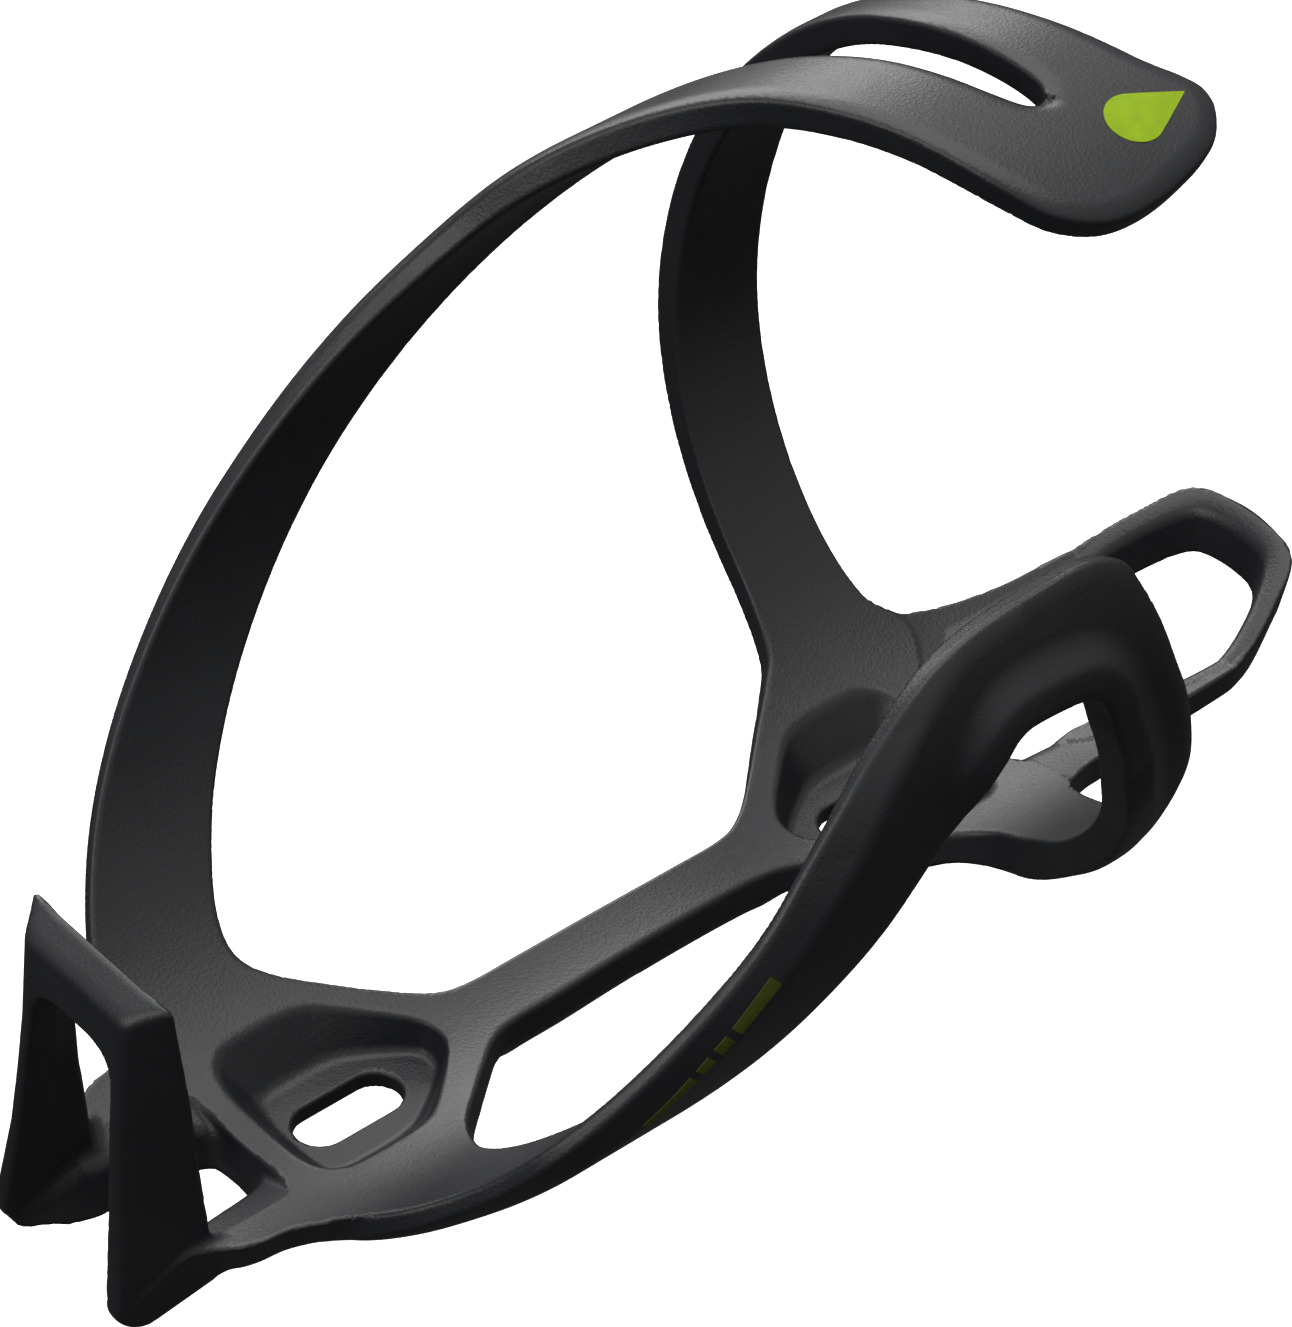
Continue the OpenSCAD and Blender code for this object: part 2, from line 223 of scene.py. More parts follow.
MIN_RISE = 0.2                    # least height of a bevel

# The raised border round the side window, on the wing and along the upper plate
BORDER_W, BORDER_H = 3.1, 1.6
BORDER_FILLET, BORDER_ROUND = 3.0, 0.5
POST_LOSS = 0.65                  # share of its height that the border loses halfway down the post


def bevelled(depth, u, thick, angle, low, low_table, high_table):
    """Distance to the bevel along an edge. depth is the distance to the edge, negative inside the skin."""
    sides = []
    for table in (low_table, high_table):
        angles, edges, widths = zip(*table)
        sides.append((np.interp(angle, angles, edges), np.interp(angle, angles, widths)))
    edge = np.where(low, sides[0][0], sides[1][0])
    width = np.where(low, sides[0][1], sides[1][1])
    rise = np.maximum(thick - edge, MIN_RISE)
    return (depth * rise + (u - edge) * width) / np.hypot(rise, width)


def border(x, angle, inward):
    """How far the window's border stands above the skin. inward is the distance from the window's edge."""
    rail_and_post = ramp(x, 3, 10) * ramp(-angle, 75, 88)
    low_stretch = 1 - POST_LOSS * ramp(-angle, 28, 45) * (1 - ramp(-angle, 62, 80))
    lower_post = ramp(x, 20, 28) * ramp(-angle, 16, 28) * low_stretch
    beyond = inward - BORDER_W
    beyond = (beyond + np.sqrt(beyond**2 + BORDER_ROUND**2)) / 2
    fall = np.clip(1 - beyond / BORDER_FILLET, 0, 1)
    return BORDER_H * np.maximum(rail_and_post, lower_post) * fall ** 2


def skin(x, angle, u):
    """The skin that wraps the bottle: plates, spine, arms, tongue, strap and wing."""
    s = angle * ARC
    d_outer, d_window, d_gap = (side * field(x, s) - EDGE_GROWTH for side, field in
                                ((1, outer_field), (-1, window_field), (-1, gap_field)))
    low = x < np.interp(angle, *MIDDLE)
    on_spine = (1 - ramp(np.abs(angle), 4.5, 9)) * (1 - ramp(np.abs(x), 15, 20))
    on_wing = ramp(-angle, 60, 78) * ramp(x, 0, 9)
    thick = SKIN_T + SPINE_EXTRA * on_spine - WING_LESS * on_wing
    height = u - border(x, angle, -d_window)
    depth = smooth_max(smooth_max(d_outer, d_window, SOFT), d_gap, SOFT)
    edge = bevelled(d_outer, height, thick, angle, low, OUTER_LOW, OUTER_HIGH)
    hole = bevelled(smooth_max(d_window, d_gap, SOFT), height, thick, angle, low, HOLE_LOW, HOLE_HIGH)
    top = smooth_max(smooth_max(height - thick, edge, 0.5), hole, 0.5)
    return smooth_max(smooth_max(depth, top, CRISP), -u, SOFT)


# ---------------------------------------------------------------- bolt pockets
POCKET_RIM = [(-10.1, 0), (-10, 4.6), (-9.2, 7.6), (-7.6, 9.2), (-5.2, 9.7), (1.4, 9.5), (5, 7.6), (9.6, 3.2),
              (10.7, 0)]
POCKET_FLOOR = [(-7.0, 0), (-6.6, 4.6), (-5.2, 6.1), (-1, 6.3), (2.2, 6.1), (4.6, 5.2), (9.0, 2.2), (10.0, 0)]
POCKET_RISE = 4.6                 # height of the rim over the pad
POCKET_WALL = 1.5                 # thickness of the side wall
END_WALL, END_WALL_X = 1.3, 6     # thickness of the wall at the end away from the spine, and where it starts
SLOT_HALF, SLOT_R = 3.05, 2.7     # half the straight length of a bolt slot, and its end's radius


def mirrored(half):
    return half + [(x, -y) for x, y in half[-2:0:-1]]


rim_field = Field(closed_curve(mirrored(POCKET_RIM), 3), 0.2, 4.0)
floor_field = Field(closed_curve(mirrored(POCKET_FLOOR), 3), 0.2, 8.0)


def pocket_wall(px, y, z):
    """Distance to the pocket's sloping side wall, negative inside it. px runs from the bolt to the spine."""
    t = (z - PAD_T) / POCKET_RISE
    return floor_field(px, y) * (1 - t) + rim_field(px, y) * t


def slot(px, y):
    """Distance to a bolt slot's wall, negative inside the slot."""
    return np.hypot(np.maximum(np.abs(px) - SLOT_HALF, 0), y) - SLOT_R


def pocket_parts(x, y, z, u, sign):
    """A bolt pocket's walls to add, then its pocket and slot to cut. sign is -1 for the lower plate."""
    px = BOLT_X - sign * x
    wall = pocket_wall(px, y, z)
    inner_side = smooth_max(-z, -u, 0.5)
    boss = smooth_max(smooth_max(wall - POCKET_WALL, -z, SOFT), -u, 0.5)
    end_wall = rim_field(px, y) - END_WALL - DRAFT * (PLATE_TOP - z)
    end_wall = smooth_max(smooth_max(end_wall, px + END_WALL_X, SOFT), inner_side, SOFT)
    walls = smooth_min(boss, end_wall, SOFT)
    return walls, smooth_max(wall, PAD_T - z, 0.9), slot(px, y)


# ---------------------------------------------------------------- stop hook
# Its cross-section at each height: [z, rear x, rear y, front x, front y]
HOOK = np.array([
    (0, -53.1, 8.4, -65.4, 10.0), (7, -53.9, 9.4, -64.4, 9.2), (14.5, -54.4, 9.3, -63.2, 8.1),
    (21.5, -55.1, 9.7, -62.3, 7.5), (27, -55.8, 10.1, -61.5, 7.3), (32, -56.4, 10.3, -60.9, 7.3),
    (37, -56.9, 10.4, -60.2, 7.4),
])
HOOK_TOP = 37.4
HOOK_BOTTOM = 0.5
HOOK_T = ([0, 12, 24], [3.0, 2.2, 2.0])                                      # thickness of its legs
RIDGE_T = 3.3
TOP_FALL = 0.52                   # how far the ridge's top falls to the front, for each millimetre
REAR_CHAMFER = 0.6
HOOK_WINDOW_TOP = 31.2
WINDOW_FALL = 0.12
HOOK_WINDOW = ([2, 6, 16, 21, 26.5, 31], [7.8, 7.3, 6.5, 6.2, 5.8, 5.7])     # its half width at each height
BAR_BOTTOM, BAR_RISE, BAR_LEAN, BAR_CREASE, BAR_DIP = 0.5, 0.5, 0.4, 8.8, 0.45
HOOK_BASE = [
    (-41, -3), (-43.6, -3), (-43.7, 1.6), (-44.6, 3.6), (-46.2, 4.7), (-48.1, 5.1), (-50.8, 5.4),
    (-53.2, 5.7), (-56, 5.9), (-59, 6.5), (-62, 7.4), (-63.2, 8.0), (-62, 8.6), (-58, 9.1), (-55, 10.5),
    (-53.2, 12.2), (-51.2, 13.2), (-49, 13.6), (-47.5, 14.6), (-45.4, 16.2), (-41, 17),
]


def side_of(px, py, ax, ay, bx, by):
    """Distance from a line through a and b, positive on its right as seen from a to b."""
    dx, dy = bx - ax, by - ay
    return ((px - ax) * dy - (py - ay) * dx) / np.hypot(dx, dy)


def hook(x, y, z):
    """The stop hook: a wall open to the rear, with a window that leaves two legs and the ridge over them."""
    ay = np.abs(y)
    rear_x, rear_y, front_x, front_y = (np.interp(z, HOOK[:, 0], HOOK[:, i]) for i in (1, 2, 3, 4))
    side = -side_of(x, ay, front_x, front_y, rear_x, rear_y)
    front = front_x - x
    outside = smooth_max(side, front, 0.8)
    inside = smooth_max(side + np.interp(z, *HOOK_T), front + RIDGE_T, 1.5)
    shell = smooth_max(outside, -inside, SOFT)
    rear = x - rear_x + REAR_CHAMFER * (1 - ramp(z, 14, 26)) * np.clip(rear_y - ay, 0, 3)
    shell = smooth_max(shell, rear, 0.7)
    window_top = z - HOOK_WINDOW_TOP - WINDOW_FALL * (x + 60)
    opening = smooth_max(ay - np.interp(z, *HOOK_WINDOW), window_top, 4.0)
    shell = smooth_max(shell, -opening, SOFT)
    top = z - HOOK_TOP + TOP_FALL * np.maximum(-57.3 - x, 0)
    shell = smooth_max(shell, top, 1.0)
    foot = HOOK_BOTTOM - z + 0.16 * np.maximum(-60.5 - x, 0) ** 2
    return smooth_max(shell, foot, BLEND)


base_field = Field(closed_curve(HOOK_BASE, 3), 0.25, 6.0)


def bottle_floor(y, inner):
    """Height of the bottle's surface over y, level inside inner."""
    return AXIS_Z - np.sqrt(BOTTLE_R**2 - np.clip(np.abs(y), inner, 20) ** 2)


def hook_base(x, y, z):
    """The two bars that carry the hook. Their outer faces lean in, and their tops dip towards the hole."""
    top = bottle_floor(y, BAR_CREASE) - BAR_DIP * np.maximum(BAR_CREASE - np.abs(y), 0)
    top = top - 0.5 * np.maximum(-57 - x, 0)
    bottom = BAR_BOTTOM + BAR_RISE * np.maximum(np.abs(y) - 5.5, 0)
    lean = BAR_LEAN * (top - z) * (2 * ramp(np.abs(y), 7, 10) - 1)
    d = base_field(x, np.abs(y)) + lean
    return smooth_max(d, smooth_max(z - top, bottom - z, 0.7), 0.7)


# ---------------------------------------------------------------- nose loop
LOOP_TIP = [(54.8, 13.1), (60, 12.4), (66, 12.2), (70, 11.9), (74, 10.9), (77.5, 9.5), (79.8, 8.5),
            (81.4, 7.1), (82.3, 4.8), (82.8, 0)]
LOOP_FAR_ROOT = [(41, 17), (45, 17), (46.6, 16.1), (48.5, 14.9), (51, 14)]
LOOP_NEAR_ROOT = [(50.8, -13.4), (48.2, -13.6), (45.6, -14.4), (43.4, -15.2), (41, -15.2)]
LOOP_OUTER = LOOP_FAR_ROOT + LOOP_TIP + [(x, -y) for x, y in LOOP_TIP[-2::-1]] + LOOP_NEAR_ROOT
LOOP_INNER = [(41.5, 0), (41.5, 5.4), (42.6, 6.9), (47, 7.3), (52.5, 7.6), (60, 8.6), (66, 9.2), (70.4, 9.2),
              (73.8, 8.3), (76.9, 6.9), (79.2, 5.3), (80.2, 3.5), (80.6, 0)]
LOOP_CHAMFER = 0.9                # width of the chamfer round the hole
LOOP_SINK = 0.25                  # how far its top lies below the bottle's surface
LOOP_FLAT, LOOP_BOTTOM, LOOP_SLOPE = 10.8, 3.4, 0.45
loop_outer = Field(closed_curve(LOOP_OUTER, 4), 0.25, 6.0)
loop_inner = Field(closed_curve(mirrored(LOOP_INNER), 4), 0.25, 6.0)


def loop(x, y, z):
    """The open loop that carries the mouth end of the cage, with its nose turned up."""
    inner = loop_inner(x, y)
    clear = ramp(x, 43, 52)
    top = bottle_floor(y, LOOP_FLAT * clear) - LOOP_SINK * clear + LOOP_SLOPE * np.maximum(x - 69.5, 0)
    bottom = LOOP_BOTTOM + LOOP_SLOPE * np.maximum(x - 72.6, 0)
    lean = DRAFT * (top - z)
    ring = smooth_max(loop_outer(x, y) + lean, -inner - lean, CRISP)
    chamfer = (z - top) * 0.9 + (LOOP_CHAMFER - inner) * 0.43
    slab = smooth_max(smooth_max(z - top, chamfer, CRISP), bottom - z, 0.8)
    return smooth_max(ring, slab, SOFT)


END_ROOM = 60.0                   # how far past the bottle's surface the hook and the nose may stand


# ---------------------------------------------------------------- the whole cage
def cage(p):
    """Signed distance from each point to the cage's surface, in millimetres."""
    x, y, z = p[:, 0], p[:, 1], p[:, 2]
    angle = np.degrees(np.arctan2(y, AXIS_Z - z))
    angle = np.where(angle < -133, angle + 360, angle)
    u = np.hypot(y, AXIS_Z - z) - BOTTLE_R
    f = skin(x, angle, u)
    cuts = []
    for sign in (-1, 1):
        near = (np.abs(x - sign * BOLT_X) < 16) & (np.abs(y) < 15) & (z < 12)
        walls, pocket, hole = pocket_parts(x[near], y[near], z[near], u[near], sign)
        f[near] = smooth_min(f[near], walls, 0.8)
        cuts.append((near, pocket, hole))
    near = (x < -36) & (np.abs(y) < 22) & (z < 45)
    q = p[near].T
    f[near] = smooth_min(f[near], smooth_min(hook_base(*q), hook(*q), 1.6), BLEND)
    near = (x > 38) & (np.abs(y) < 24) & (z < 22)
    f[near] = smooth_min(f[near], loop(*p[near].T), BLEND)
    f = np.maximum(f, -u - END_ROOM * (ramp(-x, 50.5, 54.5) + ramp(x, 60, 68)))
    for near, pocket, hole in cuts:
        f[near] = smooth_max(smooth_max(f[near], -pocket, 0.5), -hole, CRISP)
    return f


# ---------------------------------------------------------------- meshing
def distances(low, counts, cell):
    """The cage's distance at every point of a grid, found roughly first and then finely near the surface."""
    coarse = 4
    xs, ys, zs = (low[i] + cell * np.arange(counts[i]) for i in range(3))
    rough = np.stack(np.meshgrid(xs[::coarse], ys[::coarse], zs[::coarse], indexing="ij"), -1)
    values = cage(rough.reshape(-1, 3)).reshape(rough.shape[:3])
    for axis in range(3):
        values = np.repeat(values, coarse, axis)
    values = values[:counts[0], :counts[1], :counts[2]].astype(np.float32)
    # a point is up to seven eighths of a rough cell's diagonal from the rough point it copies
    near = np.argwhere(np.abs(values) < coarse * cell * 2.0)
    for start in range(0, len(near), 400_000):
        part = near[start:start + 400_000]
        values[tuple(part.T)] = cage(low + part * cell)
    return values


def surface_net(values, low, cell):
    """Vertices and quads of the surface where the values change sign."""
    inside = values < 0
    counts = np.array(values.shape)
    strides = np.array([counts[1] * counts[2], counts[2], 1])
    crossings, quads = [], []
    for axis in range(3):
        head = [slice(None)] * 3
        tail = [slice(None)] * 3
        head[axis], tail[axis] = slice(0, -1), slice(1, None)
        change = inside[tuple(head)] != inside[tuple(tail)]
        at = np.argwhere(change)
        others = [a for a in range(3) if a != axis]
        at = at[(at[:, others[0]] > 0) & (at[:, others[1]] > 0)]
        step = np.zeros(3, int)
        step[axis] = 1
        first = values[tuple(at.T)]
        second = values[tuple((at + step).T)]
        place = at.astype(float)
        place[:, axis] += first / (first - second)
        back = [np.zeros(3, int), np.zeros(3, int)]
        back[0][others[0]] = 1
        back[1][others[1]] = 1
        corners = [at, at - back[0], at - back[0] - back[1], at - back[1]]
        ids = [c @ strides for c in corners]
        for i in ids:
            crossings.append((i, place))
        quad = np.stack(ids, 1)
        flip = (first < 0) != (axis == 1)
        quad[~flip] = quad[~flip][:, ::-1]
        quads.append(quad)
    cells = np.concatenate([c[0] for c in crossings])
    places = np.concatenate([c[1] for c in crossings])
    used, index = np.unique(cells, return_inverse=True)
    sums = np.stack([np.bincount(index, places[:, i]) for i in range(3)], 1)
    verts = low + cell * sums / np.bincount(index)[:, None]
    return verts, np.searchsorted(used, np.concatenate(quads))


def gradient(p, step=0.04):
    """The direction in which the cage's distance grows at each point."""
    out = np.empty_like(p)
    for i in range(3):
        shift = np.zeros(3)
        shift[i] = step
        out[:, i] = (cage(p + shift) - cage(p - shift)) / (2 * step)
    return out


def settle(verts, quads, rounds):
    """Evens the mesh out and lays it on the surface."""
    pairs = np.concatenate([quads[:, [i, (i + 1) % 4]] for i in range(4)])
    count = np.bincount(pairs[:, 0], minlength=len(verts))[:, None]
    for turn in range(rounds + 1):
        if turn < rounds:
            sums = [np.bincount(pairs[:, 0], verts[pairs[:, 1], i], len(verts)) for i in range(3)]
            verts = 0.4 * verts + 0.6 * np.stack(sums, 1) / np.maximum(count, 1)
        for _ in range(1 if turn < rounds else 2):
            slope = gradient(verts)
            size = np.maximum((slope * slope).sum(1), 0.2)
            move = slope * (cage(verts) / size)[:, None]
            verts = verts - np.clip(move, -0.4, 0.4)
    return verts


GRID_LOW, GRID_HIGH = np.array([-68.0, -45.0, -2.0]), np.array([84.0, 45.0, 87.0])
GRID_COUNTS = np.ceil((GRID_HIGH - GRID_LOW) / GRID).astype(int) + 1
verts, quads = surface_net(distances(GRID_LOW, GRID_COUNTS, GRID), GRID_LOW, GRID)
verts = settle(verts, quads, 2)


# ---------------------------------------------------------------- cutting the mesh into pieces
def tangent(angle):
    a = math.radians(angle)
    return (0.0, math.cos(a), math.sin(a))


def past(angle):
    """Plane through the bottle's axis that keeps what lies at greater angles."""
    return ((0, 0, AXIS_Z), tuple(-c for c in tangent(angle)))


def before(angle):
    return ((0, 0, AXIS_Z), tangent(angle))


def x_over(x):
    return ((x, 0, 0), (-1, 0, 0))


def x_under(x):
    return ((x, 0, 0), (1, 0, 0))


def y_over(y):
    return ((0, y, 0), (0, -1, 0))


def y_under(y):
    return ((0, y, 0), (0, 1, 0))


def z_over(z):
    return ((0, 0, z), (0, 0, -1))


def z_under(z):
    return ((0, 0, z), (0, 0, 1))


# Angles at which the arms start, halve and meet in the tongue, and past the tongue's end
ROOT, SIDE, JOIN, END = 20, 100, 187, 230
# Angles at which the side strap, the rail and the corner start, and past the wing's end
STRAP, RAIL, POST, TIP = -50, -80, -94, -130
RAIL_X, CORNER_X = 10, 21
PLATE_END, HOOK_ROOT, SPINE_END, PAD_CUT = 44, 45, 17, 1.0
LEG_X, NOSE_X, RIDGE_Y = -54.2, 70, 4.4
under_bottle = [past(-ROOT), before(ROOT)]
lower_end = under_bottle + [x_over(-HOOK_ROOT), x_under(-SPINE_END)]
upper_end = under_bottle + [x_over(SPINE_END), x_under(PLATE_END)]
hook_bars = under_bottle + [x_over(LEG_X), x_under(-HOOK_ROOT)]
loop_bars = under_bottle + [x_over(PLATE_END), x_under(NOSE_X)]

# Each piece: the CAD nodes it stands for, and the planes that bound it
PIECES = {
    "lower_plate": (["lower_plate", "lower_pocket_wall"], lower_end + [z_over(PAD_CUT)]),
    "lower_bolt_pad": (["lower_bolt_pad"], lower_end + [z_under(PAD_CUT)]),
    "spine_bar": (["spine_bar"], under_bottle + [x_over(-SPINE_END), x_under(SPINE_END)]),
    "upper_plate": (["upper_plate", "upper_pocket_wall"], upper_end + [z_over(PAD_CUT)]),
    "upper_bolt_pad": (["upper_bolt_pad"], upper_end + [z_under(PAD_CUT)]),
    "lower_arm_side": (["lower_arm_side"], [past(ROOT), before(SIDE)]),
    "lower_arm_crown": (["lower_arm_crown"], [past(SIDE), before(JOIN)]),
    "upper_arm_side": (["upper_arm_side"], [past(ROOT), before(SIDE)]),
    "upper_arm_crown": (["upper_arm_crown"], [past(SIDE), before(JOIN)]),
    "tongue": (["tongue"], [past(JOIN), before(END)]),
    "strap_root": (["strap_root"], [past(STRAP), before(-ROOT), x_under(0)]),
    "side_strap": (["side_strap"], [past(TIP), before(STRAP), x_under(RAIL_X)]),
    "wing_rail": (["wing_rail"], [past(TIP), before(RAIL), x_over(RAIL_X), x_under(CORNER_X)]),
    "wing_corner": (["wing_corner"], [past(TIP), before(POST), x_over(CORNER_X)]),
    "wing_post": (["wing_post", "wing_flange"], [past(POST), before(-ROOT), x_over(RAIL_X)]),
    "hook_bar_near": (["hook_bar_near"], hook_bars + [y_under(0)]),
    "hook_bar_far": (["hook_bar_far"], hook_bars + [y_over(0)]),
    "hook_leg_near": (["hook_leg_near"], [x_under(LEG_X), y_under(-RIDGE_Y)]),
    "hook_leg_far": (["hook_leg_far"], [x_under(LEG_X), y_over(RIDGE_Y)]),
    "stop_ridge": (["stop_ridge"], [x_under(LEG_X), y_over(-RIDGE_Y), y_under(RIDGE_Y)]),
    "loop_bar_near": (["loop_bar_near"], loop_bars + [y_under(0)]),
    "loop_bar_far": (["loop_bar_far"], loop_bars + [y_over(0)]),
    "loop_nose": (["loop_nose"], [past(-40), before(40), x_over(NOSE_X)]),
}


def part_within(planes, margin=25.0):
    """The quads of the cage's mesh that lie inside the planes or within margin of them, as a bmesh.

    The margin is wide enough that the cage's section by each plane is whole, so that it can be filled.
    """
    keep = np.ones(len(verts), bool)
    for point, normal in planes:
        keep &= (verts - point) @ np.array(normal) < margin
    chosen = quads[keep[quads].all(1)]
    used, index = np.unique(chosen, return_inverse=True)
    bm = bmesh.new()
    new = [bm.verts.new(v) for v in verts[used]]
    for face in index.reshape(-1, 4):
        bm.faces.new([new[i] for i in face])
    for face in bm.faces:
        face.smooth = True
    return bm


def cut(bm, point, plane_normal):
    """Cuts off what lies past the plane and closes the cut with flat faces."""
    cut_edges = bmesh.ops.bisect_plane(bm, geom=bm.verts[:] + bm.edges[:] + bm.faces[:], dist=1e-4,
                                       plane_co=point, plane_no=plane_normal, clear_outer=True)["geom_cut"]
    rim = [g for g in cut_edges if isinstance(g, bmesh.types.BMEdge) and g.is_boundary]
    if not rim:
        return
    fill = bmesh.ops.triangle_fill(bm, use_beauty=True, edges=rim, normal=plane_normal)
    caps = [g for g in fill["geom"] if isinstance(g, bmesh.types.BMFace)]
    inside = cage(np.array([face.calc_center_median() for face in caps]).reshape(-1, 3)) < 0.02
    for face in caps:
        face.smooth = False
        face.normal_update()
        if face.normal.dot(plane_normal) < 0:
            face.normal_flip()
    # the fill also spans holes, so what lies outside the cage goes
    stray = [face for face, solid in zip(caps, inside) if not solid]
    bmesh.ops.delete(bm, geom=stray, context="FACES")


def keep_nearest(bm, centre, least=30):
    """Keeps the loose part whose middle is nearest to centre. Parts of up to least vertices don't count."""
    bm.verts.index_update()
    best, best_gap, todo = None, 1e9, set(bm.verts)
    while todo:
        seed = todo.pop()
        part, stack = {seed}, [seed]
        while stack:
            for edge in stack.pop().link_edges:
                for v in edge.verts:
                    if v not in part:
                        part.add(v)
                        stack.append(v)
        todo -= part
        middle = sum((v.co for v in part), Vector()) / len(part)
        gap = (middle - Vector(centre)).length
        if gap < best_gap and len(part) > least:
            best, best_gap = part, gap
    bmesh.ops.delete(bm, geom=[v for v in bm.verts if v not in best], context="VERTS")


def cut_out(planes, centre):
    """The part of the cage inside the planes, as a closed mesh, keeping the loose part nearest to centre."""
    bm = part_within(planes)
    for point, plane_normal in planes:
        cut(bm, point, plane_normal)
    keep_nearest(bm, centre)
    return bm


def to_object(name, bm):
    """A Blender object from a mesh in millimetres, shaded by the cage's true surface."""
    mesh = bpy.data.meshes.new(name)
    open_edges = sum(1 for e in bm.edges if not e.is_manifold)
    bm.to_mesh(mesh)
    bm.free()
    points = np.empty(len(mesh.vertices) * 3)
    mesh.vertices.foreach_get("co", points)
    points = points.reshape(-1, 3)
    slope = gradient(points)
    slope /= np.maximum(np.linalg.norm(slope, axis=1), 1e-6)[:, None]
    normals = np.empty((len(mesh.loops), 3))
    corner = np.empty(len(mesh.loops), int)
    mesh.loops.foreach_get("vertex_index", corner)
    normals[:] = slope[corner]
    for face in mesh.polygons:
        if not face.use_smooth:
            normals[face.loop_start:face.loop_start + face.loop_total] = face.normal
    mesh.transform(Matrix.Scale(MM, 4))
    mesh.normals_split_custom_set(normals.tolist())
    piece = bpy.data.objects.new(name, mesh)
    bpy.context.scene.collection.objects.link(piece)
    if open_edges:
        print(name, "has", open_edges, "open edges")
    return piece


# ---------------------------------------------------------------- materials
def principled(name, **values):
    """A new material, with values set on its shader's own sockets."""
    material = bpy.data.materials.new(name)
    material.use_nodes = True
    shader = material.node_tree.nodes["Principled BSDF"]
    for key, value in values.items():
        shader.inputs[key.replace("_", " ")].default_value = value
    return material, material.node_tree, shader


def noise(tree, coords, scale, detail=4.0, roughness=0.6):
    node = tree.nodes.new("ShaderNodeTexNoise")
    node.inputs["Scale"].default_value = scale
    node.inputs["Detail"].default_value = detail
    node.inputs["Roughness"].default_value = roughness
    tree.links.new(coords, node.inputs["Vector"])
    return node.outputs["Fac"]


def span(tree, value, low, high):
    """The middle of a noise's range, stretched to run from low to high."""
    node = tree.nodes.new("ShaderNodeMapRange")
    node.inputs["From Min"].default_value = 0.3
    node.inputs["From Max"].default_value = 0.7
    node.inputs["To Min"].default_value = low
    node.inputs["To Max"].default_value = high
    tree.links.new(value, node.inputs["Value"])
    return node.outputs["Result"]


def two_colours(tree, value, dark, light):
    node = tree.nodes.new("ShaderNodeMix")
    node.data_type = "RGBA"
    node.inputs["A"].default_value = (*dark, 1)
    node.inputs["B"].default_value = (*light, 1)
    tree.links.new(value, node.inputs["Factor"])
    return node.outputs["Result"]


def bump(tree, shader, height, distance, strength):
    node = tree.nodes.new("ShaderNodeBump")
    node.inputs["Distance"].default_value = distance
    node.inputs["Strength"].default_value = strength
    tree.links.new(height, node.inputs["Height"])
    tree.links.new(node.outputs["Normal"], shader.inputs["Normal"])


def satin_black():
    """Moulded carbon composite: near black, satin, with a fine spark-eroded grain."""
    material, tree, shader = principled("satin_black")
    coords = tree.nodes.new("ShaderNodeTexCoord").outputs["Object"]
    cloud = noise(tree, coords, 90, 3)
    grain = noise(tree, coords, 3200, 2, 0.5)
    colour = two_colours(tree, span(tree, cloud, 0, 1), (0.0100, 0.0105, 0.0122), (0.0135, 0.0142, 0.0163))
    tree.links.new(colour, shader.inputs["Base Color"])
    tree.links.new(span(tree, cloud, 0.33, 0.41), shader.inputs["Roughness"])
    bump(tree, shader, grain, 0.00006, 0.6)
    return material


def print_ink(name, dark, light):
    """Pad-printed ink, a little uneven."""
    material, tree, shader = principled(name, Specular_IOR_Level=0.2)
    coords = tree.nodes.new("ShaderNodeTexCoord").outputs["Object"]
    cloud = noise(tree, coords, 700, 3)
    tree.links.new(two_colours(tree, span(tree, cloud, 0, 1), dark, light), shader.inputs["Base Color"])
    tree.links.new(span(tree, cloud, 0.42, 0.52), shader.inputs["Roughness"])
    bump(tree, shader, noise(tree, coords, 3200, 2, 0.5), 0.00003, 0.4)
    return material


black = satin_black()
lime = print_ink("lime_print", (0.25, 0.39, 0.002), (0.30, 0.46, 0.004))
olive = print_ink("olive_print", (0.050, 0.062, 0.006), (0.065, 0.080, 0.008))

for name, (nodes, planes) in PIECES.items():
    lo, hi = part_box(nodes[0])
    centre = (Vector(lo) + Vector(hi)) / 2 / MM
    piece = to_object(name + "_skin", cut_out(planes, centre))
    piece.data.materials.append(black)
    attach(piece, "root")
    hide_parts(*nodes)


# ---------------------------------------------------------------- printed marks
INK_TOP, INK_BOTTOM = 0.07, -0.12              # how far the ink's faces lie from the skin


def on_skin(x, angle, height):
    """A point on the outside of the skin, raised by height."""
    a = math.radians(angle)
    ray = np.array([0.0, math.sin(a), -math.cos(a)])
    step = 0.05
    radii = np.arange(BOTTLE_R + 0.5, BOTTLE_R + 6, step)
    p = np.array([x, 0, AXIS_Z]) + radii[:, None] * ray
    d = cage(p)
    i = int(np.argmax(d > 0))
    r = radii[i - 1] + step * d[i - 1] / (d[i - 1] - d[i])
    return np.array([x, 0, AXIS_Z]) + (r + height) * ray


